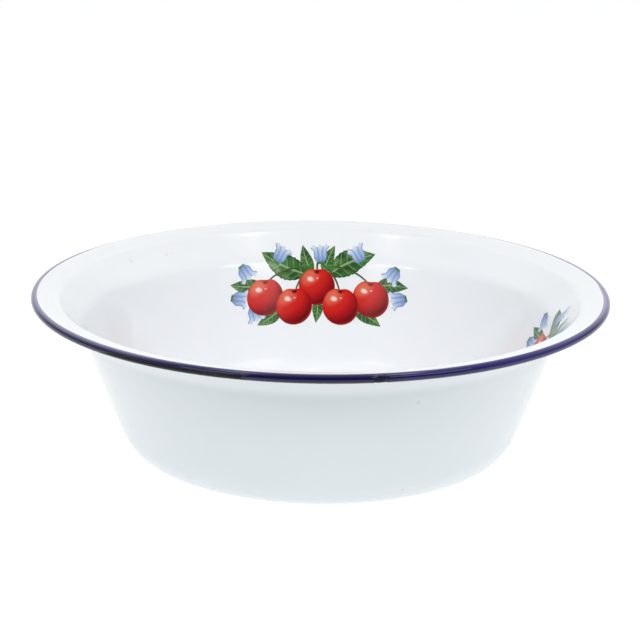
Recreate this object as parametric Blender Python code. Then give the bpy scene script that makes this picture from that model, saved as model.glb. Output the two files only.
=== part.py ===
"""Enamelled steel bowl: one pressed sheet with a curled rim, its fired coats, edging and three decals."""

import math

import bmesh
import bpy
from mathutils import Matrix, Vector

MM = 0.001
BOWL_EMPTY = "enamel_bowl"

# Driving dimensions in millimetres and degrees, over the finished enamel
RIM_DIAMETER = 240.0
BOWL_HEIGHT = 68.2
BASE_FLAT_RADIUS = 70.8
CORNER_RADIUS = 12.0
CORNER_TURN = 50.0
BELLY_RADIUS = 25.0
WALL_ANGLE = 69.5
WALL_BEND_RADIUS = 15.0
SHOULDER_ANGLE = 50.0
SHOULDER_LENGTH = 10.5
LIP_BEND_RADIUS = 5.0
LIP_ANGLE = 12.0
BEAD_RADIUS = 1.75

# The rim: blue reaches in over the last of the lip, up to a small gap from the white, and ends with the
# curl at angles round the bead's centre, with 90 at the top
EDGING_REACH = 0.6
COAT_GAP = 0.15
BLUE_END = -120.0
CURL_END = -135.0

# Thickness of the sheet and of each coat, with the hairline kept between neighbours
STEEL = 0.50
GROUND_COAT = 0.10
COVER_COAT = 0.15
DECAL_FILM = 0.05
HAIRLINE = 0.05
MERGE_REACH = 0.005

# Each layer as its lower and upper distance from the upper face of the steel
GROUND_IN = (HAIRLINE, HAIRLINE + GROUND_COAT)
COVER_IN = (GROUND_IN[1] + HAIRLINE, GROUND_IN[1] + HAIRLINE + COVER_COAT)
DECAL = (COVER_IN[1] + HAIRLINE, COVER_IN[1] + HAIRLINE + DECAL_FILM)
GROUND_OUT = (-STEEL - HAIRLINE - GROUND_COAT, -STEEL - HAIRLINE)
COVER_OUT = (GROUND_OUT[0] - HAIRLINE - COVER_COAT, GROUND_OUT[0] - HAIRLINE)
INSIDE_BUILD = COVER_IN[1]
OUTSIDE_BUILD = -COVER_OUT[0]

# Facets round the bowl, and steps along each arc of its section
SEGMENTS = 48
CORNER_STEPS = 3
BELLY_STEPS = 2
WALL_BEND_STEPS = 2
LIP_BEND_STEPS = 3
BEAD_STEPS = 7

# Decals: the height of their middle, the foot of the band of film they are cut from, and their places
DECAL_MIDDLE = 41.4
DECAL_FOOT = 20.0
DECAL_PLACES = {
    "fruit_decal_back": 90.5,
    "fruit_decal_right": -11.0,
    "fruit_decal_left": 218.0,
}

# The printed spray, as places across and up from its middle: cherries, leaves with their angle and
# length, and the round heads of small flowers
CHERRY_RADIUS = 7.6
CHERRY_SIDES = 12
CHERRIES = ((-25.0, -5.0), (-11.5, -9.5), (-1.0, -1.0), (10.0, -9.5), (24.0, -5.5))
LEAF_SHAPE = ((0.0, 0.0), (0.28, -0.21), (0.62, -0.19), (1.0, 0.0), (0.62, 0.19), (0.28, 0.21))
LEAVES = (
    (-5.0, 4.0, 155.0, 24.0),
    (4.0, 4.0, 24.0, 24.0),
    (-3.0, 4.5, 112.0, 13.0),
    (2.0, 4.5, 66.0, 13.0),
    (-26.0, 0.0, 175.0, 15.0),
    (26.0, 0.0, 3.0, 15.0),
    (-17.0, -10.0, 212.0, 13.5),
    (16.0, -11.0, -26.0, 14.0),
    (-1.0, -6.0, 268.0, 11.0),
)
FLOWER_RADIUS = 4.2
FLOWER_SIDES = 8
FLOWERS = (
    (-34.0, 6.0),
    (-36.5, -5.0),
    (-29.5, -12.0),
    (-18.0, 13.0),
    (0.5, 13.0),
    (18.0, 13.3),
    (34.0, 5.5),
    (36.5, -4.8),
)
CUTTER_REACH = 24.0

# Edges that turn more than this stay sharp in the smooth shading
SHARP_ANGLE = 50.0


def clear_scene():
    """Empty the scene of its objects."""
    for thing in list(bpy.data.objects):
        bpy.data.objects.remove(thing, do_unlink=True)


def finish(name, colour, roughness, metallic=0.0, coat=0.0):
    """Principled material for one layer."""
    material = bpy.data.materials.new(name)
    material.use_nodes = True
    material.diffuse_color = (*colour, 1.0)
    shader = material.node_tree.nodes["Principled BSDF"]
    shader.inputs["Base Color"].default_value = (*colour, 1.0)
    shader.inputs["Roughness"].default_value = roughness
    shader.inputs["Metallic"].default_value = metallic
    shader.inputs["Coat Weight"].default_value = coat
    return material


def arc_chord(radius, heading, turn):
    """Move along an arc from its first end to its other end; a negative turn goes to the right."""
    side = math.copysign(radius, turn)
    after = heading + turn
    across = side * (math.sin(after) - math.sin(heading))
    up = side * (math.cos(heading) - math.cos(after))
    return Vector((across, up))


def along(heading):
    """Unit step in a heading, measured up from the outward direction."""
    return Vector((math.cos(heading), math.sin(heading)))


class SectionLine:
    """The upper face of the steel in section, as points with the normals that face into the bowl."""

    def __init__(self, height):
        self.spot = Vector((0.0, height))
        self.heading = 0.0
        self.stations = []
        self.marks = {}
        self.keep("axis")

    def keep(self, mark=None):
        normal = Vector((-math.sin(self.heading), math.cos(self.heading)))
        self.stations.append((self.spot.copy(), normal))
        if mark:
            self.marks[mark] = len(self.stations) - 1

    def line(self, length, mark=None):
        self.spot = self.spot + along(self.heading) * length
        self.keep(mark)

    def arc(self, radius, turn, steps, mark=None):
        for step in range(steps):
            self.spot = self.spot + arc_chord(radius, self.heading, turn / steps)
            self.heading += turn / steps
            self.keep(mark if step == steps - 1 else None)

    def run(self, first, last):
        return self.stations[self.marks[first]:self.marks[last] + 1]


def section_line():
    """Follow the sheet from the axis to the end of its curl."""
    corner = math.radians(CORNER_TURN)
    wall = math.radians(WALL_ANGLE)
    shoulder = math.radians(SHOULDER_ANGLE)
    lip = math.radians(LIP_ANGLE)
    corner_radius = CORNER_RADIUS - OUTSIDE_BUILD
    belly_radius = BELLY_RADIUS - OUTSIDE_BUILD
    wall_bend_radius = WALL_BEND_RADIUS - INSIDE_BUILD
    lip_bend_radius = LIP_BEND_RADIUS - INSIDE_BUILD
    curl_radius = BEAD_RADIUS - INSIDE_BUILD

    # The straight lengths of wall and lip are those that bring the curl to the rim's place
    bead_middle = Vector((RIM_DIAMETER / 2 - BEAD_RADIUS, BOWL_HEIGHT - BEAD_RADIUS))
    curl_start = bead_middle + curl_radius * along(lip + math.pi / 2)
    bent = Vector((BASE_FLAT_RADIUS, OUTSIDE_BUILD))
    bent += arc_chord(corner_radius, 0.0, corner)
    bent += arc_chord(belly_radius, corner, wall - corner)
    bent += arc_chord(wall_bend_radius, wall, shoulder - wall)
    bent += along(shoulder) * SHOULDER_LENGTH
    bent += arc_chord(lip_bend_radius, shoulder, lip - shoulder)
    rest = curl_start - bent
    wall_way = along(wall)
    lip_way = along(lip)
    spread = wall_way.x * lip_way.y - wall_way.y * lip_way.x
    wall_length = (rest.x * lip_way.y - rest.y * lip_way.x) / spread
    lip_length = (wall_way.x * rest.y - wall_way.y * rest.x) / spread

    sheet = SectionLine(OUTSIDE_BUILD)
    sheet.line(BASE_FLAT_RADIUS)
    sheet.arc(corner_radius, corner, CORNER_STEPS)
    sheet.arc(belly_radius, wall - corner, BELLY_STEPS, "wall_foot")
    sheet.line(wall_length, "wall_top")
    sheet.arc(wall_bend_radius, shoulder - wall, WALL_BEND_STEPS)
    sheet.line(SHOULDER_LENGTH, "shoulder_top")
    sheet.arc(lip_bend_radius, lip - shoulder, LIP_BEND_STEPS)
    sheet.line(lip_length - EDGING_REACH - COAT_GAP, "white_end")
    sheet.line(COAT_GAP, "blue_start")
    sheet.line(EDGING_REACH)
    curl_top = LIP_ANGLE + 90.0
    sheet.arc(curl_radius, math.radians(BLUE_END - curl_top), BEAD_STEPS, "blue_end")
    sheet.arc(curl_radius, math.radians(CURL_END - BLUE_END), 1, "curl_end")
    return sheet


def turned(name, run, layer, material=None):
    """Turn the strip between two distances from the sheet line into a solid about the Z axis."""
    low, high = layer
    outward = [spot + normal * high for spot, normal in run]
    back = [spot + normal * low for spot, normal in reversed(run)]
    shape = bmesh.new()
    verts = [shape.verts.new((spot.x * MM, 0.0, spot.y * MM)) for spot in outward + back]
    edges = [shape.edges.new(pair) for pair in zip(verts, verts[1:])]
    if run[0][0].x > 0.0:
        edges.append(shape.edges.new((verts[-1], verts[0])))
    bmesh.ops.spin(
        shape,
        geom=verts + edges,
        axis=(0.0, 0.0, 1.0),
        angle=math.tau,
        steps=SEGMENTS,
        use_merge=True,
    )
    bmesh.ops.remove_doubles(shape, verts=shape.verts, dist=MERGE_REACH * MM)
    bmesh.ops.recalc_face_normals(shape, faces=shape.faces)
    return place(name, shape, material)


def place(name, shape, material):
    """Make a bmesh an object of the scene, shaded smooth."""
    mesh = bpy.data.meshes.new(name)
    shape.to_mesh(mesh)
    shape.free()
    mesh.shade_smooth()
    mesh.set_sharp_from_angle(angle=math.radians(SHARP_ANGLE))
    if material:
        mesh.materials.append(material)
    thing = bpy.data.objects.new(name, mesh)
    thing.parent = bpy.data.objects[BOWL_EMPTY]
    bpy.context.scene.collection.objects.link(thing)
    return thing


def disc_outline(across, height, radius, sides):
    """Round fruit or flower head."""
    turns = [math.tau * step / sides for step in range(sides)]
    return [Vector((across, height)) + along(turn) * radius for turn in turns]


def leaf_outline(across, height, angle, length):
    """Pointed leaf from its foot to its tip."""
    foot = Vector((across, height))
    way = along(math.radians(angle)) * length
    side = Vector((-way.y, way.x))
    return [foot + way * far + side * off for far, off in LEAF_SHAPE]


def spray_outlines():
    """Every flat outline of the print, in millimetres across and up the wall."""
    outlines = [leaf_outline(*leaf) for leaf in LEAVES]
    outlines += [disc_outline(*spot, CHERRY_RADIUS, CHERRY_SIDES) for spot in CHERRIES]
    outlines += [disc_outline(*spot, FLOWER_RADIUS, FLOWER_SIDES) for spot in FLOWERS]
    return outlines


def spray_cutter(sheet, name, turn):
    """Prisms of the print, lying level through the wall at one place round the bowl."""
    shape = bmesh.new()
    for outline in spray_outlines():
        verts = [shape.verts.new((spot.x * MM, spot.y * MM, -CUTTER_REACH * MM)) for spot in outline]
        face = shape.faces.new(verts)
        moved = bmesh.ops.extrude_face_region(shape, geom=[face])["geom"]
        tops = [item for item in moved if isinstance(item, bmesh.types.BMVert)]
        bmesh.ops.translate(shape, verts=tops, vec=(0.0, 0.0, 2 * CUTTER_REACH * MM))
    bmesh.ops.recalc_face_normals(shape, faces=shape.faces)
    spot, _ = wall_station(sheet, DECAL_MIDDLE)
    inward = Vector((-1.0, 0.0, 0.0))
    up = Vector((0.0, 0.0, 1.0))
    across = up.cross(inward)
    stand = Matrix((across, up, inward)).transposed().to_4x4()
    stand.translation = Vector((spot.x, 0.0, spot.y)) * MM
    cutter = place(name + "_outline", shape, None)
    cutter.data.transform(Matrix.Rotation(math.radians(turn), 4, "Z") @ stand)
    cutter.hide_render = True
    cutter.display_type = "WIRE"
    return cutter


def wall_station(sheet, height):
    """Point and normal of the sheet line on the straight wall at a height."""
    foot, normal = sheet.stations[sheet.marks["wall_foot"]]
    top, _ = sheet.stations[sheet.marks["wall_top"]]
    share = (height - foot.y) / (top.y - foot.y)
    return foot.lerp(top, share), normal


def decal(sheet, name, turn, material):
    """Thin print on the inner wall, cut from a band of film by the outlines of its design."""
    band = [wall_station(sheet, DECAL_FOOT)] + sheet.run("wall_top", "shoulder_top")
    film = turned(name, band, DECAL, material)
    cut = film.modifiers.new("print", "BOOLEAN")
    cut.operation = "INTERSECT"
    cut.solver = "EXACT"
    cut.use_self = True
    cut.object = spray_cutter(sheet, name, turn)
    return film


def main():
    clear_scene()
    bpy.context.scene.collection.objects.link(bpy.data.objects.new(BOWL_EMPTY, None))
    steel = finish("sheet_steel", (0.42, 0.43, 0.45), 0.35, metallic=1.0)
    ground = finish("dark_ground_enamel", (0.012, 0.012, 0.018), 0.30)
    white = finish("white_enamel", (0.80, 0.82, 0.84), 0.12, coat=0.5)
    blue = finish("cobalt_enamel", (0.020, 0.018, 0.110), 0.12, coat=0.5)
    print_ink = finish("fired_print", (0.55, 0.05, 0.04), 0.25)

    sheet = section_line()
    turned("steel_bowl", sheet.run("axis", "curl_end"), (-STEEL, 0.0), steel)
    turned("ground_coat_inside", sheet.run("axis", "curl_end"), GROUND_IN, ground)
    turned("ground_coat_outside", sheet.run("axis", "white_end"), GROUND_OUT, ground)
    turned("white_coat_inside", sheet.run("axis", "white_end"), COVER_IN, white)
    turned("white_coat_outside", sheet.run("axis", "white_end"), COVER_OUT, white)
    turned("blue_rim_edging", sheet.run("blue_start", "blue_end"), COVER_IN, blue)
    for name, turn in DECAL_PLACES.items():
        decal(sheet, name, turn, print_ink)


main()
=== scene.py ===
import math

import bmesh
import bpy
from mathutils import Matrix, Vector, noise


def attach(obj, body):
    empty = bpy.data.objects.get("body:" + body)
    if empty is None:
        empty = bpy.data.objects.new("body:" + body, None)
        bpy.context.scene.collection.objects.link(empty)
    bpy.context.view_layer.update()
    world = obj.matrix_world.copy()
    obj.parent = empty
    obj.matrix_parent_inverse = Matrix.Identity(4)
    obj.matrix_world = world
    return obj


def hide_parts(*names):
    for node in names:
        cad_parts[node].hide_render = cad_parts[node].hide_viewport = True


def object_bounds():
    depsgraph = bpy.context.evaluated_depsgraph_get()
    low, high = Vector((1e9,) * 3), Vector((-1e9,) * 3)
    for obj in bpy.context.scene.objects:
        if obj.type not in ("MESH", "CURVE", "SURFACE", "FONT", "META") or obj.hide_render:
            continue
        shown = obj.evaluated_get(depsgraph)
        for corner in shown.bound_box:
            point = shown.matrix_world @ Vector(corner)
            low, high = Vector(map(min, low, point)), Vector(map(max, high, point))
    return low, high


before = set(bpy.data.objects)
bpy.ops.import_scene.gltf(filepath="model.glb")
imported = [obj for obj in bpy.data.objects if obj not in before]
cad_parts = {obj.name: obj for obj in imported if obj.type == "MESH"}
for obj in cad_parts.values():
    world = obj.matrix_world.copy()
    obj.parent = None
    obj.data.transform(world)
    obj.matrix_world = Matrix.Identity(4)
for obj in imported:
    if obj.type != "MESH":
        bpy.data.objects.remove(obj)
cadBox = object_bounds()
mm = 0.001
print("frame loaded with", len(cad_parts), "nodes")

# The pressed sheet in mm and degrees, over the finished enamel
# A lift, here and below, is a height off the steel's upper face
sheet = {
    "rimRadius": cadBox[1].x / mm,
    "rimTop": cadBox[1].z / mm,
    "baseFlat": 70.8,
    "cornerRadius": 12.0,
    "cornerTurn": 50.0,
    "bellyRadius": 25.0,
    "wallAngle": 69.5,
    "wallBend": 15.0,
    "shoulderAngle": 50.0,
    "shoulderLength": 10.5,
    "lipBend": 5.0,
    "lipAngle": 12.0,
    "lipEdge": 1.2,  # last of the lip, where blue may lie over white
    "beadRadius": 1.75,
    "whiteEnd": 66.0,  # angle on the bead where the white stops, under the blue
    "curlEnd": -135.0,
    "over": 0.35,  # enamel over the steel's upper face
    "under": 0.85,  # steel and enamel below it
    "facets": 240,
    "noseSteps": 4,
    "weld": 0.002,
    "sharp": 50.0,  # faces that meet at more than this stay sharp
}
beadMiddle = Vector((sheet["rimRadius"] - sheet["beadRadius"], 0.0, sheet["rimTop"] - sheet["beadRadius"]))
curlArc = sheet["beadRadius"] - sheet["over"]
curlTop = sheet["lipAngle"] + 90.0


def way(heading):
    return Vector((math.cos(heading), 0.0, math.sin(heading)))


def arcChord(radius, heading, turn):
    side = math.copysign(radius, turn)
    across = side * (math.sin(heading + turn) - math.sin(heading))
    up = side * (math.cos(heading) - math.cos(heading + turn))
    return Vector((across, 0.0, up))


def followSheet():
    # moves from the axis to the end of the curl: name, length or radius, turn, steps
    names = ("cornerTurn", "wallAngle", "shoulderAngle", "lipAngle", "whiteEnd", "curlEnd")
    corner, wall, shoulder, lip, whiteEnd, curlEnd = [math.radians(sheet[name]) for name in names]
    cornerArc = sheet["cornerRadius"] - sheet["under"]
    bellyArc = sheet["bellyRadius"] - sheet["under"]
    wallBend = sheet["wallBend"] - sheet["over"]
    lipBend = sheet["lipBend"] - sheet["over"]
    top = math.radians(curlTop)
    # wall and lip are as long as it takes to bring the curl to the rim
    fixed = Vector((sheet["baseFlat"], 0.0, sheet["under"]))
    fixed += arcChord(cornerArc, 0.0, corner) + arcChord(bellyArc, corner, wall - corner)
    fixed += arcChord(wallBend, wall, shoulder - wall) + way(shoulder) * sheet["shoulderLength"]
    fixed += arcChord(lipBend, shoulder, lip - shoulder)
    rest = beadMiddle + way(top) * curlArc - fixed
    spread = math.sin(lip - wall)
    wallLength = (rest.x * math.sin(lip) - rest.z * math.cos(lip)) / spread
    lipLength = (rest.z * math.cos(wall) - rest.x * math.sin(wall)) / spread
    print("wall", round(wallLength, 2), "mm and lip", round(lipLength, 2), "mm")
    return (
        ("base", sheet["baseFlat"], 0.0, 10),
        ("corner", cornerArc, corner, 14),
        ("belly", bellyArc, wall - corner, 8),
        ("wall", wallLength, 0.0, 18),
        ("wallBend", wallBend, shoulder - wall, 10),
        ("shoulder", sheet["shoulderLength"], 0.0, 6),
        ("lipBend", lipBend, lip - shoulder, 14),
        ("lip", lipLength - sheet["lipEdge"], 0.0, 4),
        ("lipEdge", sheet["lipEdge"], 0.0, 12),
        ("whiteEnd", curlArc, whiteEnd - top, 14),
        ("curlEnd", curlArc, curlEnd - whiteEnd, 40),
    )


sheetMoves = followSheet()


def drawSheet(bm, lift, last):
    vert = bm.verts.new(Vector((0.0, 0.0, sheet["under"] + lift)) * mm)
    heading = 0.0
    for name, reach, turn, steps in sheetMoves:
        if turn:
            left = Vector((-math.sin(heading), 0.0, math.cos(heading)))
            centre = vert.co + left * (math.copysign(reach, turn) - lift) * mm
            arc = bmesh.ops.spin(bm, geom=[vert], cent=centre, axis=(0, -1, 0), angle=turn, steps=steps)
            vert = arc["geom_last"][0]
            heading += turn
        else:
            for step in range(steps):
                vert = bmesh.ops.extrude_vert_indiv(bm, verts=[vert])["verts"][0]
                bmesh.ops.translate(bm, verts=[vert], vec=way(heading) * (reach / steps * mm))
        if name == last:
            return vert


def turnCoat(low, high, last):
    # a closed skin between two lifts, with a round nose where it stops
    bm = bmesh.new()
    top = drawSheet(bm, high, last)
    bottom = drawSheet(bm, low, last)
    middle = (top.co + bottom.co) / 2
    bmesh.ops.spin(bm, geom=[top], cent=middle, axis=(0, -1, 0), angle=-math.pi, steps=sheet["noseSteps"])
    bmesh.ops.remove_doubles(bm, verts=bm.verts, dist=sheet["weld"] * mm)
    bmesh.ops.spin(
        bm, geom=bm.verts[:] + bm.edges[:], cent=(0, 0, 0), axis=(0, 0, 1),
        angle=math.tau, steps=sheet["facets"], use_merge=True,
    )
    bmesh.ops.remove_doubles(bm, verts=bm.verts, dist=sheet["weld"] * mm)
    bmesh.ops.recalc_face_normals(bm, faces=bm.faces)
    return bm


def addPiece(name, bm, material, slot, *nodes):
    mesh = bpy.data.meshes.new(name)
    bm.to_mesh(mesh)
    bm.free()
    mesh.shade_smooth()
    mesh.set_sharp_from_angle(angle=math.radians(sheet["sharp"]))
    mesh.materials.append(material)
    piece = bpy.data.objects.new(name, mesh)
    bpy.context.scene.collection.objects.link(piece)
    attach(piece, "root")
    if nodes:
        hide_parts(*nodes)


# Node helpers: a socket is linked, anything else is set on the input
def plug(tree, value, socket):
    if isinstance(value, bpy.types.NodeSocket):
        tree.links.new(value, socket)
    else:
        socket.default_value = value


def calc(tree, operation, *values):
    node = tree.nodes.new("ShaderNodeMath")
    node.operation = operation
    for socket, value in zip(node.inputs, values):
        plug(tree, value, socket)
    return node.outputs[0]


def fade(tree, value, low, high):
    # 0 at low to 1 at high, with soft ends
    node = tree.nodes.new("ShaderNodeMapRange")
    node.interpolation_type = "SMOOTHSTEP"
    plug(tree, value, node.inputs["Value"])
    node.inputs["From Min"].default_value = low
    node.inputs["From Max"].default_value = high
    return node.outputs["Result"]


def mixColour(tree, share, first, second, mode="MIX"):
    node = tree.nodes.new("ShaderNodeMix")
    node.data_type = "RGBA"
    node.blend_type = mode
    for socket, value in ((node.inputs[0], share), (node.inputs[6], first), (node.inputs[7], second)):
        plug(tree, value, socket)
    return node.outputs[2]


def noiseTexture(tree, place, size, detail):
    # size is the span of a blotch in mm
    node = tree.nodes.new("ShaderNodeTexNoise")
    plug(tree, place, node.inputs["Vector"])
    node.inputs["Scale"].default_value = 1.0 / (size * mm)
    node.inputs["Detail"].default_value = detail
    return node.outputs["Fac"]


def objectPlace(tree):
    return tree.nodes.new("ShaderNodeTexCoord").outputs["Object"]


def bumpFrom(tree, height, depth):
    # depth in mm of a full swing of the height
    node = tree.nodes.new("ShaderNodeBump")
    node.inputs["Distance"].default_value = depth * mm
    plug(tree, height, node.inputs["Height"])
    return node.outputs["Normal"]


def startMaterial(name):
    material = bpy.data.materials.new(name)
    material.use_nodes = True
    tree = material.node_tree
    return material, tree, tree.nodes["Principled BSDF"]


def startGroup(name, inputs, outputs):
    group = bpy.data.node_groups.new(name, "ShaderNodeTree")
    group.interface.new_socket("Place", in_out="INPUT", socket_type="NodeSocketVector")
    for title in inputs:
        group.interface.new_socket(title, in_out="INPUT", socket_type="NodeSocketFloat")
    for title in outputs:
        group.interface.new_socket(title, in_out="OUTPUT", socket_type="NodeSocketFloat")
    return group, group.nodes.new("NodeGroupInput").outputs, group.nodes.new("NodeGroupOutput").inputs


def useGroup(tree, group, **values):
    node = tree.nodes.new("ShaderNodeGroup")
    node.node_tree = group
    plug(tree, objectPlace(tree), node.inputs["Place"])
    for title, value in values.items():
        node.inputs[title].default_value = value
    return node.outputs


# Fired glass skin: slow clouding, orange peel and uneven gloss, each with its span in mm and its detail
skinNoise = {
    "cloud": (26.0, 3.0),
    "peel": (2.6, 2.0),
    "ripple": (9.0, 1.0),
    "patch": (6.0, 4.0),
    "rippleShare": 2.2,
}


def makeEnamelSkin():
    group, given, made = startGroup("enamelSkin", ("Gloss", "Spread"), ("Cloud", "Peel", "Roughness"))
    plug(group, noiseTexture(group, given["Place"], *skinNoise["cloud"]), made["Cloud"])
    peel = noiseTexture(group, given["Place"], *skinNoise["peel"])
    ripple = noiseTexture(group, given["Place"], *skinNoise["ripple"])
    plug(group, calc(group, "MULTIPLY_ADD", ripple, skinNoise["rippleShare"], peel), made["Peel"])
    swing = calc(group, "SUBTRACT", noiseTexture(group, given["Place"], *skinNoise["patch"]), 0.5)
    plug(group, calc(group, "MULTIPLY_ADD", swing, given["Spread"], given["Gloss"]), made["Roughness"])
    return group


# Fine dots of the fired transfer print
printDots = {"span": 0.42, "depth": 0.30, "gloss": 0.10, "glossSpread": 0.10, "patch": (3.0, 3.0)}


def makePrintGrain():
    group, given, made = startGroup("printGrain", ("Depth",), ("Tone", "Roughness"))
    dots = group.nodes.new("ShaderNodeTexVoronoi")
    plug(group, given["Place"], dots.inputs["Vector"])
    dots.inputs["Scale"].default_value = 1.0 / (printDots["span"] * mm)
    tone = calc(group, "SUBTRACT", 1.0, calc(group, "MULTIPLY", dots.outputs["Distance"], given["Depth"]))
    plug(group, tone, made["Tone"])
    patch = noiseTexture(group, given["Place"], *printDots["patch"])
    rough = calc(group, "MULTIPLY_ADD", patch, printDots["glossSpread"], printDots["gloss"])
    plug(group, rough, made["Roughness"])
    return group


enamelSkin = makeEnamelSkin()
printGrain = makePrintGrain()
print("shader groups built")

# White cover coat: two close whites, small firing marks, and one faint line of painted shade inside the lip
# A mark is azimuth, then radius, height and size in mm, and strength
whiteCoat = {
    "cool": (0.846, 0.868, 0.893, 1.0),
    "warm": (0.870, 0.886, 0.905, 1.0),
    "speckAndShade": (0.16, 0.15, 0.14, 1.0),
    "speckCore": 0.25,  # part of a mark that has its full strength
    "gloss": 0.12,
    "glossSpread": 0.05,
    "peel": 0.002,
    "scoured": 0.13,  # more roughness from use on the floor, the belly and the lip
    "scouredBelow": (18.0, 7.0),  # heights in mm at which it starts and is full
    "scouredAbove": (65.0, 66.4),
    "insideMarksAndShade": (
        (143.8, 105.3, 62.2, 1.3, 0.12),
        (132.4, 104.5, 61.3, 0.9, 0.12),
        (130.6, 104.5, 61.3, 0.7, 0.10),
        # painted shade: a faint dark line at the inner edge of the lip on the left, where the lip turns down
        # into the wall, not a firing mark
        (211.4, 109.0, 66.0, 0.9, 0.15),
        (24.0, 60.0, 1.2, 0.6, 0.40),
    ),
    "outsideMarks": (
        (-67.6, 98.1, 48.6, 1.0, 0.16),
        (-66.4, 82.3, 7.5, 0.7, 0.35),
        (71.0, 90.0, 27.0, 0.7, 0.30),
        (30.0, 52.0, 0.0, 1.6, 0.55),
        (150.0, 52.0, 0.0, 1.7, 0.55),
        (270.0, 52.0, 0.0, 1.5, 0.55),
    ),
}


def whiteEnamel(name, marks):
    material, tree, shader = startMaterial(name)
    skin = useGroup(tree, enamelSkin, Gloss=whiteCoat["gloss"], Spread=whiteCoat["glossSpread"])
    place = objectPlace(tree)
    colour = mixColour(tree, skin["Cloud"], whiteCoat["cool"], whiteCoat["warm"])
    # each mark is painted in the speck colour: firing specks, and one line of painted shade
    for azimuth, radius, height, size, strength in marks:
        turn = math.radians(azimuth)
        near = tree.nodes.new("ShaderNodeVectorMath")
        near.operation = "DISTANCE"
        plug(tree, place, near.inputs[0])
        near.inputs[1].default_value = Vector((radius * math.cos(turn), radius * math.sin(turn), height)) * mm
        spot = fade(tree, near.outputs["Value"], size * mm, whiteCoat["speckCore"] * size * mm)
        colour = mixColour(tree, calc(tree, "MULTIPLY", spot, strength), colour, whiteCoat["speckAndShade"])
    plug(tree, colour, shader.inputs["Base Color"])
    axes = tree.nodes.new("ShaderNodeSeparateXYZ")
    plug(tree, place, axes.inputs[0])
    low = fade(tree, axes.outputs["Z"], *[height * mm for height in whiteCoat["scouredBelow"]])
    high = fade(tree, axes.outputs["Z"], *[height * mm for height in whiteCoat["scouredAbove"]])
    rough = calc(tree, "MULTIPLY_ADD", calc(tree, "ADD", low, high), whiteCoat["scoured"], skin["Roughness"])
    plug(tree, rough, shader.inputs["Roughness"])
    plug(tree, bumpFrom(tree, skin["Peel"], whiteCoat["peel"]), shader.inputs["Normal"])
    return material


# Cobalt edging: dark where it lies thick, paler where it is thin, and paler on the top of the bead where a
# painted reflection of the bright room lies
cobalt = {
    "thick": (0.005, 0.004, 0.050, 1.0),
    "flow": (0.019, 0.015, 0.135, 1.0),
    "deep": (0.010, 0.008, 0.095, 1.0),
    # thin blue over the white at the feathered edge, and painted reflection on the top of the bead
    "thinAndSheen": (0.335, 0.315, 0.490, 1.0),
    "flowing": (0.35, 0.70),  # clouding at which it turns from deep to flow
    "gloss": 0.05,
    "glossSpread": 0.03,
    "peel": 0.004,
    "refraction": 1.50,
}


def cobaltEnamel():
    material, tree, shader = startMaterial("cobaltEnamel")
    skin = useGroup(tree, enamelSkin, Gloss=cobalt["gloss"], Spread=cobalt["glossSpread"])
    thicknessAndSheen = {}
    for layer in ("thinAndSheen", "pool"):
        thicknessAndSheen[layer] = tree.nodes.new("ShaderNodeAttribute")
        thicknessAndSheen[layer].attribute_name = layer
    colour = mixColour(tree, fade(tree, skin["Cloud"], *cobalt["flowing"]), cobalt["deep"], cobalt["flow"])
    colour = mixColour(tree, thicknessAndSheen["pool"].outputs["Fac"], colour, cobalt["thick"])
    # paler where the blue is thin, and where the painted reflection of the room lies on the top of the bead
    colour = mixColour(tree, thicknessAndSheen["thinAndSheen"].outputs["Fac"], colour, cobalt["thinAndSheen"])
    plug(tree, colour, shader.inputs["Base Color"])
    plug(tree, skin["Roughness"], shader.inputs["Roughness"])
    plug(tree, bumpFrom(tree, skin["Peel"], cobalt["peel"]), shader.inputs["Normal"])
    shader.inputs["IOR"].default_value = cobalt["refraction"]
    return material


# Ground coat, black with grey flecks
groundCoat = {
    "black": (0.007, 0.007, 0.009, 1.0),
    "grey": (0.024, 0.022, 0.022, 1.0),
    "fleck": (0.9, 4.0),  # span in mm, detail
    "flecked": (0.42, 0.72),  # noise at which black turns to grey
    "gloss": 0.24,
    "glossSpread": 0.20,
    "peel": 0.010,
    "refraction": 1.30,
}


def groundEnamel():
    material, tree, shader = startMaterial("groundEnamel")
    skin = useGroup(tree, enamelSkin, Gloss=groundCoat["gloss"], Spread=groundCoat["glossSpread"])
    flecks = noiseTexture(tree, objectPlace(tree), *groundCoat["fleck"])
    flecked = fade(tree, flecks, *groundCoat["flecked"])
    colour = mixColour(tree, flecked, groundCoat["black"], groundCoat["grey"])
    plug(tree, colour, shader.inputs["Base Color"])
    plug(tree, skin["Roughness"], shader.inputs["Roughness"])
    plug(tree, bumpFrom(tree, skin["Peel"], groundCoat["peel"]), shader.inputs["Normal"])
    shader.inputs["IOR"].default_value = groundCoat["refraction"]
    return material


# Bare sheet, its grain drawn out along the rolling
bareSteel = {
    "bright": (0.50, 0.50, 0.51, 1.0),
    "dull": (0.30, 0.29, 0.28, 1.0),
    "rolled": (1.0, 0.06, 1.0),
    "grain": (0.5, 4.0),  # span in mm, detail
    "stain": (12.0, 4.0),
    "gloss": 0.25,
    "glossSpread": 0.25,
    "scratch": 0.004,
}


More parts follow.
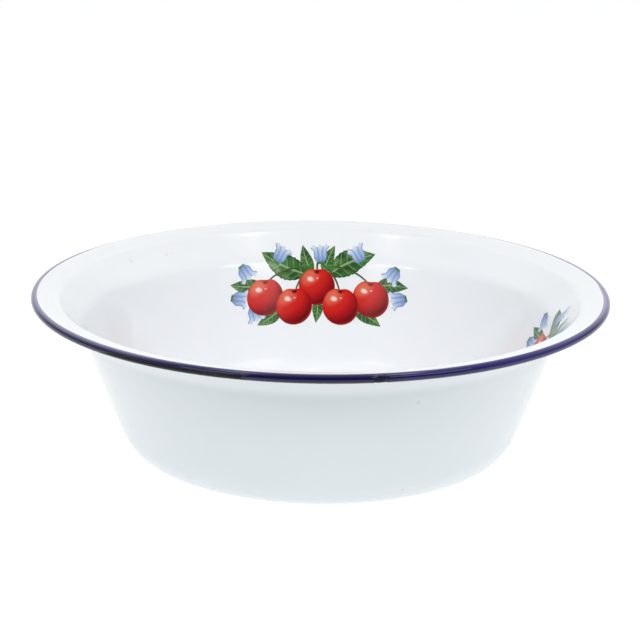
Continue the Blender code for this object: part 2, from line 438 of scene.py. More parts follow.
def sheetSteel():
    material, tree, shader = startMaterial("sheetSteel")
    place = objectPlace(tree)
    stretch = tree.nodes.new("ShaderNodeMapping")
    stretch.inputs["Scale"].default_value = bareSteel["rolled"]
    plug(tree, place, stretch.inputs["Vector"])
    grain = noiseTexture(tree, stretch.outputs["Vector"], *bareSteel["grain"])
    stain = noiseTexture(tree, place, *bareSteel["stain"])
    plug(tree, mixColour(tree, stain, bareSteel["bright"], bareSteel["dull"]), shader.inputs["Base Color"])
    rough = calc(tree, "MULTIPLY_ADD", grain, bareSteel["glossSpread"], bareSteel["gloss"])
    plug(tree, rough, shader.inputs["Roughness"])
    plug(tree, bumpFrom(tree, grain, bareSteel["scratch"]), shader.inputs["Normal"])
    shader.inputs["Metallic"].default_value = 1.0
    return material


# Slow unevenness of the fired enamel, mm
wave = {"depth": 0.022, "span": 17.0, "flatBelow": 1.5}


def waveAt(spot):
    # nothing at the standing face, so the bowl sits flat
    share = min(1.0, max(0.0, spot.z / mm / wave["flatBelow"]))
    return noise.noise(spot / (wave["span"] * mm)) * wave["depth"] * mm * share


def rollEnamel(bm):
    bm.normal_update()
    moves = [(vert, vert.normal * waveAt(vert.co)) for vert in bm.verts]
    for vert, move in moves:
        vert.co += move


# Blue edging
# Angles go round the bead, 90 at its top and 0 at its outermost line, and run on over the lip
edging = {
    "upperEdge": (  # azimuth, angle: brushed by hand, so it wanders, and lies low at the back
        (0, 128), (8, 112), (25, 110), (42, 98), (60, 83), (99, 83), (103, 89), (107, 82), (128, 81),
        (143, 86), (156, 110), (185, 116), (205, 112), (240, 114), (270, 112), (300, 109), (332, 110),
        (350, 128),
    ),
    "lowerEdge": -119.0,
    "lowerWander": 5.0,
    "wanders": 6.0,  # how fast it wanders, and how fast where it is ragged
    "ragged": 15.0,
    "bareStretches": (  # ground coat left showing: azimuths of start and end with their runs, angle
        (220.0, 10.0, 257.0, 0.8, 9.0),
        (279.6, 0.5, 281.9, 0.6, 4.0),
    ),
    "pooled": 0.20,  # more ground coat there
    "pooledFrom": 0.12,  # lifts above this are its outer face
    "pooledIn": 4.0,  # how far below the blue it starts, the angle where it ends, and its slope
    "pooledEnd": -132.0,
    "pooledSlope": 14.0,
    "floor": 0.18,  # lift of its underside over the ground coat
    "upperFloor": 0.29,  # and where it runs over the white
    "top": 0.35,
    "nose": 9.0,  # degrees over which an edge rounds off
    "overlap": 3.0,  # past its upper edge, into the dip in the white
    "climb": 14.0,  # degrees over which it climbs onto the white
    "feather": 9.0,  # degrees over which its upper edge is thin, and how thin
    "featherThin": 0.8,
    "cells": (720, 40),
    "upperShare": 0.62,  # part of the loop of its section that is outside
    "paleFrom": 30.0,  # up the bead the blue is painted paler until the white shows through: partly thinner blue, partly painted reflection of the bright room
    "paleOver": 80.0,
    "pale": (  # azimuth, share: how strong that paler top with its painted reflection is, full at the back and sides
        (0, 1.0), (190, 1.0), (232, 0.95), (250, 0.45), (275, 0.35), (290, 0.5), (312, 0.30), (332, 0.40),
        (350, 1.0),
    ),
    "pool": (196.0, 14.0, 287.0, 5.0),  # where it ran together, thick and dark: start and end with their runs
}


def soft(share):
    share = min(1.0, max(0.0, share))
    return share * share * (3.0 - 2.0 * share)


def roundCurve(points, azimuth):
    # smooth closed curve through points round the bowl
    azimuth %= 360.0
    ring = points + ((points[0][0] + 360.0, points[0][1]),)
    for (start, low), (end, high) in zip(ring, ring[1:]):
        if start <= azimuth <= end:
            return low + (high - low) * soft((azimuth - start) / (end - start))


def lowerEdgeAt(azimuth):
    around = way(math.radians(azimuth))
    angle = edging["lowerEdge"] + edging["lowerWander"] * noise.noise(around * edging["wanders"])
    for start, startRun, end, endRun, bareAngle in edging["bareStretches"]:
        inside = soft((azimuth % 360.0 - start) / startRun) * soft((end - azimuth % 360.0) / endRun)
        wander = edging["lowerWander"] * noise.noise(around * edging["ragged"])
        angle += (bareAngle + wander - angle) * inside
    return angle


def noseRise(degreesIn):
    # quarter round of an edge, 0 at its end to 1 at full height
    share = min(1.0, max(0.0, degreesIn / edging["nose"]))
    return math.sqrt(1.0 - (1.0 - share) ** 2)


def rimPoint(azimuth, angle, lift):
    # on the bead, or past its top on the flat of the lip
    bead = min(angle, curlTop)
    spot = beadMiddle + way(math.radians(bead)) * (curlArc + lift)
    spot -= way(math.radians(sheet["lipAngle"])) * (math.radians(angle - bead) * sheet["beadRadius"])
    return Matrix.Rotation(math.radians(azimuth), 3, "Z") @ spot * mm


def rimPlace(spot):
    # the angle and lift of a point of the rim
    section = Vector((math.hypot(spot.x, spot.y), 0.0, spot.z)) - beadMiddle
    along = section.dot(way(math.radians(sheet["lipAngle"])))
    above = section.dot(way(math.radians(curlTop)))
    if along < 0.0 < above:
        return curlTop - math.degrees(along / sheet["beadRadius"]), above - curlArc
    return math.degrees(math.atan2(section.z, section.x)), section.length - curlArc


def edgingPoint(azimuth, loop):
    upper = roundCurve(edging["upperEdge"], azimuth) + edging["overlap"]
    lower = lowerEdgeAt(azimuth)
    outside = loop < edging["upperShare"]
    share = loop / edging["upperShare"] if outside else (1.0 - loop) / (1.0 - edging["upperShare"])
    share = 0.5 - 0.5 * math.cos(math.pi * share)  # closer together at both edges
    angle = upper + (lower - upper) * share
    climb = soft(1.0 - (upper - angle) / edging["climb"])
    base = edging["floor"] + (edging["upperFloor"] - edging["floor"]) * climb
    rise = min(noseRise(upper - angle), noseRise(angle - lower))
    lift = base + (edging["top"] - base) * rise if outside else base
    # the paler top of the bead is partly thinner blue and partly painted reflection; the feathered upper edge
    # is thin blue
    pale = min(1.0, max(0.0, (angle - edging["paleFrom"]) / edging["paleOver"]))
    feather = edging["featherThin"] * soft(1.0 - (upper - angle) / edging["feather"])
    thinAndSheen = max(pale * roundCurve(edging["pale"], azimuth), feather)
    start, startRun, end, endRun = edging["pool"]
    pool = soft((azimuth % 360.0 - start) / startRun) * soft((end - azimuth % 360.0) / endRun)
    return rimPoint(azimuth, angle, lift), thinAndSheen, pool


def blueEdging():
    bm = bmesh.new()
    around, across = edging["cells"]
    thinAndSheenLayer = bm.verts.layers.float.new("thinAndSheen")
    poolLayer = bm.verts.layers.float.new("pool")
    grid = bmesh.ops.create_grid(bm, x_segments=around, y_segments=across, size=0.5)
    for vert in grid["verts"]:
        azimuth = 360.0 * (vert.co.x + 0.5)
        vert.co, vert[thinAndSheenLayer], vert[poolLayer] = edgingPoint(azimuth, vert.co.y + 0.5)
    bmesh.ops.remove_doubles(bm, verts=bm.verts, dist=sheet["weld"] * mm)
    bmesh.ops.recalc_face_normals(bm, faces=bm.faces)
    return bm


# Dip of the white under the blue: lift of its foot, share by which it thins, then degrees
dip = {"foot": 0.20, "thinner": 0.72, "run": 9.0, "early": 1.0, "reach": 36.0}


def sinkWhite(bm):
    # follows the blue's upper edge
    for vert in bm.verts:
        spot = vert.co / mm
        azimuth = math.degrees(math.atan2(spot.y, spot.x))
        angle, lift = rimPlace(spot)
        if 0.0 < angle < curlTop + dip["reach"]:
            edge = roundCurve(edging["upperEdge"], azimuth) + dip["early"]
            left = 1.0 - dip["thinner"] * soft((edge - angle) / dip["run"])
            vert.co = rimPoint(azimuth, angle, dip["foot"] + (lift - dip["foot"]) * left)


def poolGround(bm):
    # the ground coat lies thick where the blue missed it
    for vert in bm.verts:
        spot = vert.co / mm
        azimuth = math.degrees(math.atan2(spot.y, spot.x))
        angle, lift = rimPlace(spot)
        if angle < 0.0 and lift > edging["pooledFrom"]:
            start = lowerEdgeAt(azimuth) - edging["pooledIn"]
            share = soft((start - angle) / edging["pooledSlope"])
            share *= soft((angle - edging["pooledEnd"]) / edging["pooledSlope"])
            vert.co = rimPoint(azimuth, angle, lift + edging["pooled"] * share)


# The coats, from the steel outwards: lifts of the lower and upper face, and the move that each ends with
coats = {
    "steel": (-0.50, 0.0, "curlEnd"),
    "groundInside": (0.05, 0.15, "curlEnd"),
    "groundOutside": (-0.65, -0.55, "lip"),
    "whiteInside": (0.20, 0.35, "whiteEnd"),
    "whiteOutside": (-0.85, -0.70, "lip"),
}
ground = groundEnamel()
groundInside = turnCoat(*coats["groundInside"])
poolGround(groundInside)
addPiece("bowl_steel", turnCoat(*coats["steel"]), sheetSteel(), "sheet_steel", "steel_bowl")
addPiece("ground_enamel_inside", groundInside, ground, "dark_ground_enamel", "ground_coat_inside")
groundOutside = turnCoat(*coats["groundOutside"])
addPiece("ground_enamel_outside", groundOutside, ground, "dark_ground_enamel", "ground_coat_outside")
print("steel and ground coats turned")

insideCoat = turnCoat(*coats["whiteInside"])
rollEnamel(insideCoat)
sinkWhite(insideCoat)
insideWhite = whiteEnamel("whiteEnamelInside", whiteCoat["insideMarksAndShade"])
addPiece("white_enamel_inside", insideCoat, insideWhite, "white_enamel", "white_coat_inside")
outsideCoat = turnCoat(*coats["whiteOutside"])
rollEnamel(outsideCoat)
outsideWhite = whiteEnamel("whiteEnamelOutside", whiteCoat["outsideMarks"])
addPiece("white_enamel_outside", outsideCoat, outsideWhite, "white_enamel", "white_coat_outside")
addPiece("blue_edging", blueEdging(), cobaltEnamel(), "cobalt_enamel", "blue_rim_edging")
print("white coats and blue edging laid")

# Printed spray of cherries, leaves and bellflowers, in mm across and up from its middle
spray = {
    "places": {"back": 90.5, "right": -11.0, "left": 218.0},  # azimuth of each print
    "middle": 43.4,
    "base": 0.375,  # lift of the lowest film
    "step": 0.008,  # between films that overlap
    "levels": 8,
    "film": 0.006,
    "cherries": ((-25.0, -5.0), (-11.5, -9.5), (-1.0, -1.0), (10.0, -9.5), (24.0, -5.5)),
    "leaves": (  # foot, angle, length
        (-5.0, 4.0, 155.0, 24.0),
        (4.0, 4.0, 24.0, 24.0),
        (-3.0, 4.5, 112.0, 13.0),
        (2.0, 4.5, 66.0, 13.0),
        (-26.0, 0.0, 175.0, 15.0),
        (26.0, 0.0, 3.0, 15.0),
        (-17.0, -10.0, 212.0, 13.5),
        (16.0, -11.0, -26.0, 14.0),
        (-1.0, -6.0, 268.0, 11.0),
    ),
    "bells": (  # middle, lean
        (-34.0, 6.0, 35.0),
        (-36.5, -5.0, 80.0),
        (-29.5, -12.0, 20.0),
        (-18.0, 13.0, 150.0),
        (0.5, 13.0, 185.0),
        (18.0, 13.3, 212.0),
        (34.0, 5.5, -35.0),
        (36.5, -4.8, -75.0),
    ),
    "stems": (  # from a cherry, by way of, to
        ((-24.0, 1.5), (-17.0, 8.0), (-4.0, 7.5)),
        ((-11.0, -3.0), (-9.0, 4.0), (-2.5, 8.0)),
        ((-0.8, 5.8), (-1.2, 8.0), (-0.6, 9.6)),
        ((9.5, -3.0), (8.0, 4.0), (2.0, 8.2)),
        ((23.0, 1.0), (16.0, 8.0), (3.5, 7.6)),
    ),
}


def filmLine(level):
    # section of the inner face at the lift of one level of film
    bm = bmesh.new()
    drawSheet(bm, spray["base"] + level * spray["step"], "lip")
    line = [vert.co / mm for vert in bm.verts]
    bm.free()
    return line


filmLines = [filmLine(level) for level in range(spray["levels"])]


def onWall(across, up, turn, level):
    # a point of the print on the inner face, following the enamel's waves
    height = spray["middle"] + up
    line = filmLines[level]
    low, high = next(pair for pair in zip(line, line[1:]) if pair[0].z <= height < pair[1].z)
    spot = low.lerp(high, (height - low.z) / (high.z - low.z))
    run = (high - low).normalized()
    angle = math.radians(turn) - math.asin(across / spot.x)
    swing = Matrix.Rotation(angle, 3, "Z")
    spot = swing @ spot * mm
    return spot + swing @ Vector((-run.z, 0.0, run.x)) * waveAt(spot)


def layFilm(bm, cells, shape, turn, level):
    # a flat grid is drawn out to its shape, laid on the wall and given the film's thickness
    bm.loops.layers.uv.verify()
    grid = bmesh.ops.create_grid(bm, x_segments=cells[0], y_segments=cells[1], size=1.0, calc_uvs=True)
    for vert in grid["verts"]:
        across, up = shape(vert.co.x, vert.co.y)
        vert.co = onWall(across, up, turn, level)
    faces = list({face for vert in grid["verts"] for face in vert.link_faces})
    bmesh.ops.solidify(bm, geom=faces, thickness=spray["film"] * mm)


# Each form is drawn over a square from -1 to 1
cherryForm = {"radius": 8.2, "wide": 1.02, "hollow": 0.10, "hollowWide": 0.28, "hollowRise": 1.6}


def cherryShape(across, up):
    radius = cherryForm["radius"]

    def shape(x, y):
        spotX = x * math.sqrt(1.0 - y * y / 2.0)
        spotY = y * math.sqrt(1.0 - x * x / 2.0)
        # hollow at the stalk
        inward = math.exp(-(spotX / cherryForm["hollowWide"]) ** 2) * soft(spotY * cherryForm["hollowRise"])
        return (
            across + spotX * radius * cherryForm["wide"],
            up + (spotY - cherryForm["hollow"] * inward) * radius,
        )

    return shape


# In parts of the leaf's length
leafForm = {"half": 0.2226, "skew": 0.82, "teeth": 11.0, "toothDepth": 0.10, "tip": 0.006, "curve": 0.05}


def leafShape(footX, footY, angle, length):
    turn = math.radians(angle)

    def shape(x, y):
        along = (x + 1.0) / 2.0
        tooth = 1.0 - leafForm["toothDepth"] * ((along * leafForm["teeth"]) % 1.0)
        half = leafForm["half"] * math.sin(math.pi * along ** leafForm["skew"]) * tooth + leafForm["tip"]
        curve = leafForm["curve"] * math.sin(math.pi * along)
        far = along * length
        off = (half * y + curve) * length
        return (
            footX + far * math.cos(turn) - off * math.sin(turn),
            footY + far * math.sin(turn) + off * math.cos(turn),
        )

    return shape


# Half widths in parts of the length, and where along it they come in
bellForm = {
    "length": 8.4,
    "neck": 0.16,
    "body": 0.20,
    "bodyRun": 0.35,
    "flare": 0.16,
    "flareFrom": 0.62,
    "lobes": 1.5,
    "lobeDepth": 0.16,
    "lobePower": 0.8,
    "lobeFrom": 0.5,
}


def bellShape(middleX, middleY, lean):
    turn = math.radians(lean)
    length = bellForm["length"]

    def shape(x, y):
        along = (y + 1.0) / 2.0  # 0 at the stalk, 1 at the mouth
        flared = soft((along - bellForm["flareFrom"]) / (1.0 - bellForm["flareFrom"]))
        half = bellForm["neck"] + bellForm["body"] * soft(along / bellForm["bodyRun"])
        half += bellForm["flare"] * flared
        wavy = abs(math.sin(bellForm["lobes"] * math.pi * x)) ** bellForm["lobePower"]
        lobed = soft((along - bellForm["lobeFrom"]) / (1.0 - bellForm["lobeFrom"]))
        lobe = 1.0 - bellForm["lobeDepth"] * wavy * lobed
        off = half * x * length
        far = (0.5 - along * lobe) * length
        return (
            middleX + off * math.cos(turn) - far * math.sin(turn),
            middleY + off * math.sin(turn) + far * math.cos(turn),
        )

    return shape


# Half width at the fruit, and what it gains to the other end
stemForm = {"half": 0.336, "more": 0.21}


def stemShape(start, bend, end):
    def shape(x, y):
        share = (x + 1.0) / 2.0
        points = [Vector(point) for point in (start, bend, end)]
        spot = points[0].lerp(points[1], share).lerp(points[1].lerp(points[2], share), share)
        run = (points[1] - points[0]).lerp(points[2] - points[1], share).normalized()
        half = stemForm["half"] + stemForm["more"] * share
        return spot.x - run.y * half * y, spot.y + run.x * half * y

    return shape


# Print colours, linear
inks = {
    "cherryShade": (0.120, 0.003, 0.005, 1.0),
    "cherryDeep": (0.430, 0.006, 0.008, 1.0),
    "cherryRed": (0.720, 0.020, 0.014, 1.0),
    "cherryLight": (0.880, 0.180, 0.100, 1.0),
    "shine": (0.980, 0.860, 0.820, 1.0),
    "leafDark": (0.022, 0.092, 0.024, 1.0),
    "leafGreen": (0.060, 0.225, 0.048, 1.0),
    "leafLight": (0.270, 0.430, 0.140, 1.0),
    "leafRib": (0.400, 0.540, 0.260, 1.0),
    "bellDeep": (0.160, 0.250, 0.560, 1.0),
    "bellBlue": (0.390, 0.550, 0.830, 1.0),
    "bellPale": (0.740, 0.840, 0.950, 1.0),
    "stemGreen": (0.110, 0.170, 0.040, 1.0),
    "stemDark": (0.040, 0.070, 0.018, 1.0),
}


def startPrint(name):
    # a print material with its pattern's own coordinates, both from -1 to 1
    material, tree, shader = startMaterial(name)
    grain = useGroup(tree, printGrain, Depth=printDots["depth"])
    uv = tree.nodes.new("ShaderNodeSeparateXYZ")
    plug(tree, tree.nodes.new("ShaderNodeTexCoord").outputs["UV"], uv.inputs[0])
    x = calc(tree, "MULTIPLY_ADD", uv.outputs["X"], 2.0, -1.0)
    y = calc(tree, "MULTIPLY_ADD", uv.outputs["Y"], 2.0, -1.0)
    plug(tree, grain["Roughness"], shader.inputs["Roughness"])
    return material, tree, shader, grain, x, y


def finishPrint(tree, shader, grain, colour):
    tone = tree.nodes.new("ShaderNodeCombineColor")
    for socket in tone.inputs:
        plug(tree, grain["Tone"], socket)
    plug(tree, mixColour(tree, 1.0, colour, tone.outputs[0], "MULTIPLY"), shader.inputs["Base Color"])


def paint(tree, colour, ink, mask, share=1.0):
    # an ink over a colour, by a mask
    return mixColour(tree, calc(tree, "MULTIPLY", mask, share), colour, ink)


def spotMask(tree, x, y, atX, atY, wide, tall, core):
    # 1 in the middle of an oval spot, fading to 0 at its edge
    offX = calc(tree, "DIVIDE", calc(tree, "SUBTRACT", x, atX), wide)
    offY = calc(tree, "DIVIDE", calc(tree, "SUBTRACT", y, atY), tall)
    far = calc(tree, "SQRT", calc(tree, "MULTIPLY_ADD", offX, offX, calc(tree, "MULTIPLY", offY, offY)))
    return fade(tree, far, 1.0, core)


# In each look, a pair of limits is where a mask starts and is full, and a share is how strong its ink is
cherryLook = {
    "lightX": -0.46,
    "lightY": 0.58,
    "lightDepth": 0.66,
    "deep": (-0.30, 0.30),
    "red": (0.15, 0.75),
    "light": (0.72, 1.05),
    "rim": (0.62, 0.95),
    "rimDark": (0.05, -0.35),
    "rimShare": 0.45,
    "glint": (-0.36, 0.40, 0.26, 0.20, 0.25),
    "glintShare": 0.85,
    "smallGlint": (0.02, 0.52, 0.10, 0.07, 0.2),
    "smallGlintShare": 0.6,
    "stalk": (0.0, 0.86, 0.24, 0.14, 0.2),
}


def roundedSide(tree, side, other):
    # the form rounds its square into the fruit, so the pattern is rounded the same way
    square = calc(tree, "MULTIPLY_ADD", calc(tree, "MULTIPLY", other, other), -0.5, 1.0)
    return calc(tree, "MULTIPLY", side, calc(tree, "SQRT", square))


def cherryInk():
    material, tree, shader, grain, x, y = startPrint("cherryPrint")
    roundX = roundedSide(tree, x, y)
    roundY = roundedSide(tree, y, x)
    square = calc(tree, "MULTIPLY_ADD", roundX, roundX, calc(tree, "MULTIPLY", roundY, roundY))
    depth = calc(tree, "SQRT", calc(tree, "MAXIMUM", calc(tree, "SUBTRACT", 1.0, square), 0.0))
    light = calc(tree, "MULTIPLY", depth, cherryLook["lightDepth"])
    light = calc(tree, "MULTIPLY_ADD", roundX, cherryLook["lightX"], light)
    light = calc(tree, "MULTIPLY_ADD", roundY, cherryLook["lightY"], light)
    colour = paint(tree, inks["cherryShade"], inks["cherryDeep"], fade(tree, light, *cherryLook["deep"]))
    colour = paint(tree, colour, inks["cherryRed"], fade(tree, light, *cherryLook["red"]))
    colour = paint(tree, colour, inks["cherryLight"], fade(tree, light, *cherryLook["light"]))
    rim = fade(tree, square, *cherryLook["rim"])
    rim = calc(tree, "MULTIPLY", rim, fade(tree, light, *cherryLook["rimDark"]))
    colour = paint(tree, colour, inks["cherryRed"], rim, cherryLook["rimShare"])
    glint = spotMask(tree, roundX, roundY, *cherryLook["glint"])
    colour = paint(tree, colour, inks["shine"], glint, cherryLook["glintShare"])
    small = spotMask(tree, roundX, roundY, *cherryLook["smallGlint"])
    colour = paint(tree, colour, inks["shine"], small, cherryLook["smallGlintShare"])
    stalk = spotMask(tree, roundX, roundY, *cherryLook["stalk"])
    colour = paint(tree, colour, inks["cherryShade"], stalk)
    finishPrint(tree, shader, grain, colour)
    return material


leafLook = {
    "blotch": (4.5, 3.0),  # span in mm, detail
    "green": (0.30, 0.68),
    "lightSide": (-0.1, 0.7),
    "lightBlotch": (0.35, 0.75),
    "lightShare": 0.75,
    "veins": 3.4,
    "veinSlant": -0.9,
    "veinAt": 0.5,
    "vein": (0.13, 0.02),
    "veinShare": 0.40,
    "shadeAt": 0.25,
    "shade": (0.20, 0.0),
    "shadeShare": 0.35,
    "edge": (0.80, 1.0),
    "rib": (0.13, 0.04),
    "ribShare": 0.8,
}


def leafInk():
    material, tree, shader, grain, x, y = startPrint("leafPrint")
    side = calc(tree, "ABSOLUTE", y)
    blotch = noiseTexture(tree, objectPlace(tree), *leafLook["blotch"])
    colour = paint(tree, inks["leafDark"], inks["leafGreen"], fade(tree, blotch, *leafLook["green"]))
    upper = fade(tree, y, *leafLook["lightSide"])
    upper = calc(tree, "MULTIPLY", upper, fade(tree, blotch, *leafLook["lightBlotch"]))
    colour = paint(tree, colour, inks["leafLight"], upper, leafLook["lightShare"])
    # side veins run forward from the rib
    run = calc(tree, "MULTIPLY", x, leafLook["veins"])
    run = calc(tree, "FRACT", calc(tree, "MULTIPLY_ADD", side, leafLook["veinSlant"], run))
    for mask, ink in (("vein", "leafRib"), ("shade", "leafDark")):
        off = calc(tree, "ABSOLUTE", calc(tree, "SUBTRACT", run, leafLook[mask + "At"]))
        colour = paint(tree, colour, inks[ink], fade(tree, off, *leafLook[mask]), leafLook[mask + "Share"])
    colour = paint(tree, colour, inks["leafDark"], fade(tree, side, *leafLook["edge"]))
    colour = paint(tree, colour, inks["leafRib"], fade(tree, side, *leafLook["rib"]), leafLook["ribShare"])
    finishPrint(tree, shader, grain, colour)
    return material


bellLook = {
    "blue": (-1.0, 0.1),
    "pale": (0.0, 0.95),
    "fold": (0.75, 1.0),
    "foldShare": 0.55,
    "ridge": (0.16, 0.0),
    "ridgeShare": 0.7,
    "edge": (0.80, 1.0),
    "edgeShare": 0.6,
    "cup": (-0.70, -0.86),
}


def bellInk():
    material, tree, shader, grain, x, y = startPrint("bellPrint")
    colour = paint(tree, inks["bellDeep"], inks["bellBlue"], fade(tree, y, *bellLook["blue"]))
    colour = paint(tree, colour, inks["bellPale"], fade(tree, y, *bellLook["pale"]))
    wavy = calc(tree, "SINE", calc(tree, "MULTIPLY", x, bellForm["lobes"] * math.pi))
    fold = calc(tree, "ABSOLUTE", wavy)
    for mask, ink in (("fold", "bellDeep"), ("ridge", "bellPale")):
        colour = paint(tree, colour, inks[ink], fade(tree, fold, *bellLook[mask]), bellLook[mask + "Share"])
    edge = fade(tree, calc(tree, "ABSOLUTE", x), *bellLook["edge"])
    colour = paint(tree, colour, inks["bellDeep"], edge, bellLook["edgeShare"])
    colour = paint(tree, colour, inks["leafGreen"], fade(tree, y, *bellLook["cup"]))
    finishPrint(tree, shader, grain, colour)
    return material


stemLook = {"lit": (-0.6, 0.8), "leafy": (0.2, 1.0)}


def stemInk():
    material, tree, shader, grain, x, y = startPrint("stemPrint")
    colour = paint(tree, inks["stemDark"], inks["stemGreen"], fade(tree, y, *stemLook["lit"]))
    colour = paint(tree, colour, inks["leafGreen"], fade(tree, x, *stemLook["leafy"]))
    finishPrint(tree, shader, grain, colour)
    return material


# Films of one kind: grid cells, lowest level, and how many levels they take by turns
filmLayers = {
    "leaves": {"cells": (44, 26), "level": 0, "levels": 4, "shape": leafShape, "ink": leafInk()},
    "stems": {"cells": (20, 2), "level": 4, "levels": 1, "shape": stemShape, "ink": stemInk()},
    "bells": {"cells": (20, 20), "level": 5, "levels": 1, "shape": bellShape, "ink": bellInk()},
    "cherries": {"cells": (24, 24), "level": 6, "levels": 2, "shape": cherryShape, "ink": cherryInk()},
}
for side, turn in spray["places"].items():
    for kind, layer in filmLayers.items():
        bm = bmesh.new()
        for count, row in enumerate(spray[kind]):
            level = layer["level"] + count % layer["levels"]
            layFilm(bm, layer["cells"], layer["shape"](*row), turn, level)
        bmesh.ops.recalc_face_normals(bm, faces=bm.faces)
        nodes = ["fruit_decal_" + side] if kind == "cherries" else []
        addPiece(side + "_print_" + kind, bm, layer["ink"], "fired_print", *nodes)
    print(side, "print laid")

# White paper floor, lit from below a little, so it stays white and still takes the bowl's shadow
paper = {
    "half": 2.2,
    "frontEdge": -0.35,
    "drop": 0.0001,
    "tone": (0.25, 0.25, 0.25, 1.0),
    "glow": 0.84,
    "cool": (0.935, 1.0, 1.018, 1.0),  # as light on the bowl
    "white": (1.07, 1.07, 1.07, 1.0),  # as seen
}


def layFloor():
    bm = bmesh.new()
    bmesh.ops.create_grid(bm, x_segments=1, y_segments=1, size=paper["half"])
    bmesh.ops.translate(bm, verts=bm.verts, vec=(0.0, paper["frontEdge"] + paper["half"], -paper["drop"]))
    mesh = bpy.data.meshes.new("floor")
    bm.to_mesh(mesh)
    bm.free()
    material, tree, shader = startMaterial("paperFloor")
    shader.inputs["Base Color"].default_value = paper["tone"]
    shader.inputs["Roughness"].default_value = 1.0
    shader.inputs["Specular IOR Level"].default_value = 0.0
    path = tree.nodes.new("ShaderNodeLightPath").outputs
    seen = calc(tree, "ADD", path["Is Camera Ray"], calc(
        tree, "ADD", path["Is Glossy Ray"], path["Is Transmission Ray"]))
    plug(tree, mixColour(tree, seen, paper["cool"], paper["white"]), shader.inputs["Emission Color"])
    shader.inputs["Emission Strength"].default_value = paper["glow"]
    mesh.materials.append(material)
    floor = bpy.data.objects.new("floor", mesh)
    bpy.context.scene.collection.objects.link(floor)


layFloor()

# Soft boxes: azimuth, elevation, then distance, width and height in metres, watts
studio = {
    "aim": Vector((0.0, 0.0, 0.04)),
    "front": 0.09,  # the room is dim behind the camera and overhead, and white behind the bowl
    "back": 0.78,
    "depth": (-0.9, 0.45),  # from front to back, by a ray's Y
    "ceiling": (0.88, 0.55),  # from dark to the room's tone, by its Z
    "mirrorHigh": (0.30, 0.05),  # the backdrop as mirrored in the glaze, by Z and by Y
    "mirrorBack": (-0.45, 0.05),
    "sideShade": 0.7,  # mirrored in the glaze, the room is dark to both sides of the backdrop
    "sideOut": (0.45, 0.85),
    "sideHigh": (0.45, 0.15),
    "tint": (0.965, 1.0, 1.022, 1.0),
    "white": (1.0, 1.0, 1.0, 1.0),
    "boxes": {
        "rightBox": (-20.0, 71.0, 1.2, 0.22, 0.22, 1.00),
        "leftBox": (-160.0, 71.0, 1.2, 0.22, 0.22, 0.90),
        "frontRightBox": (-48.0, 31.0, 1.1, 0.60, 0.12, 1.15),
        "frontLeftBox": (-131.0, 31.5, 1.1, 0.46, 0.12, 0.92),
    },
    "scrim": (-90.0, 66.5, 1.2, 1.2, 1.2, 12.45),  # so large and soft that the glaze shows no edge of it
}


def hangBox(name, azimuth, elevation, far, wide, tall, watts):
    turn, rise = math.radians(azimuth), math.radians(elevation)
    reach = Vector((math.cos(turn) * math.cos(rise), math.sin(turn) * math.cos(rise), math.sin(rise)))
    lamp = bpy.data.lights.new(name, "AREA")
    lamp.shape = "RECTANGLE"
    lamp.size = wide
    lamp.size_y = tall
    lamp.energy = watts
    box = bpy.data.objects.new(name, lamp)
    box.location = studio["aim"] + reach * far
    box.rotation_euler = reach.to_track_quat("Z", "Y").to_euler()
    bpy.context.scene.collection.objects.link(box)
    return box


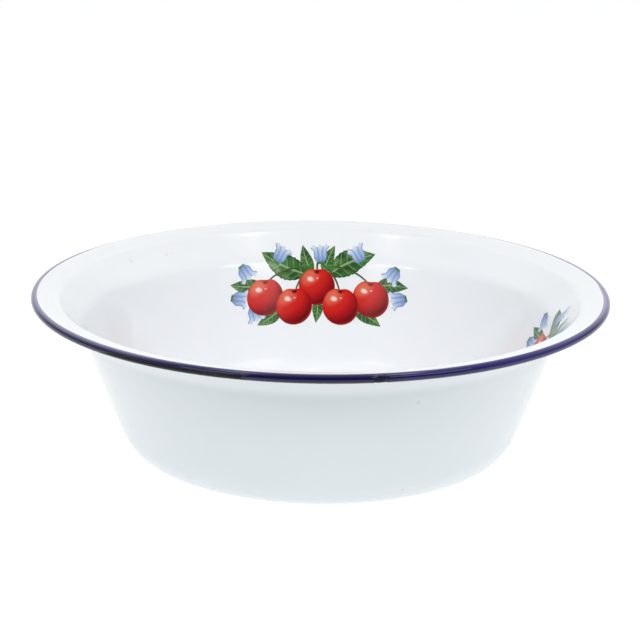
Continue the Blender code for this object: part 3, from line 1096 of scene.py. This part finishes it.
def lightStudio():
    for name, box in studio["boxes"].items():
        hangBox(name, *box)
    hangBox("scrim", *studio["scrim"]).visible_glossy = False
    world = bpy.data.worlds.new("studio")
    bpy.context.scene.world = world
    world.use_nodes = True
    tree = world.node_tree
    ray = tree.nodes.new("ShaderNodeSeparateXYZ")
    plug(tree, tree.nodes.new("ShaderNodeTexCoord").outputs["Generated"], ray.inputs[0])
    depth = fade(tree, ray.outputs["Y"], *studio["depth"])
    room = calc(tree, "MULTIPLY_ADD", depth, studio["back"] - studio["front"], studio["front"])
    room = calc(tree, "MULTIPLY", room, fade(tree, ray.outputs["Z"], *studio["ceiling"]))
    path = tree.nodes.new("ShaderNodeLightPath").outputs
    mirrored = calc(tree, "ADD", path["Is Glossy Ray"], path["Is Transmission Ray"])
    mirrored = calc(tree, "MULTIPLY", mirrored, fade(tree, ray.outputs["Z"], *studio["mirrorHigh"]))
    mirrored = calc(tree, "MULTIPLY", mirrored, fade(tree, ray.outputs["Y"], *studio["mirrorBack"]))
    white = calc(tree, "ADD", path["Is Camera Ray"], mirrored)  # the backdrop, up to the dim ceiling
    strength = calc(tree, "MULTIPLY_ADD", white, calc(tree, "SUBTRACT", 1.0, room), room)
    side = fade(tree, calc(tree, "ABSOLUTE", ray.outputs["X"]), *studio["sideOut"])
    side = calc(tree, "MULTIPLY", side, fade(tree, ray.outputs["Z"], *studio["sideHigh"]))
    side = calc(tree, "MULTIPLY", side, path["Is Glossy Ray"])
    shade = calc(tree, "MULTIPLY_ADD", side, -studio["sideShade"], 1.0)
    backdrop = tree.nodes["Background"].inputs
    plug(tree, mixColour(tree, white, studio["tint"], studio["white"]), backdrop["Color"])
    plug(tree, calc(tree, "MULTIPLY", strength, shade), backdrop["Strength"])


lightStudio()

# Camera, from the fit of the rim, the wall's outline and the standing edge
view = {
    "focus": 113.05,  # mm, as the sensor's width
    "sensor": 36.0,
    "distance": 0.840,
    "target": Vector((0.0, 0.0, 0.0666)),
    "elevation": 15.58,
    "pitchOff": 0.836,  # the target sits above the middle of the picture
    "yawOff": 0.0105,
    "roll": 0.716,
}


def placeCamera():
    rise = math.radians(view["elevation"])
    lens = bpy.data.cameras.new("camera")
    lens.lens = view["focus"]
    lens.sensor_width = view["sensor"]
    camera = bpy.data.objects.new("camera", lens)
    place = view["target"] + Vector((0.0, -math.cos(rise), math.sin(rise))) * view["distance"]
    tilt = math.radians(90.0 - view["elevation"] - view["pitchOff"])
    turn = Matrix.Rotation(math.radians(view["yawOff"]), 4, "Z")
    turn = turn @ Matrix.Rotation(tilt, 4, "X") @ Matrix.Rotation(math.radians(view["roll"]), 4, "Z")
    camera.matrix_world = Matrix.Translation(place) @ turn
    bpy.context.scene.collection.objects.link(camera)
    bpy.context.scene.camera = camera


placeCamera()
bpy.context.scene.view_settings.view_transform = "Standard"
print("floor, lights and camera set")
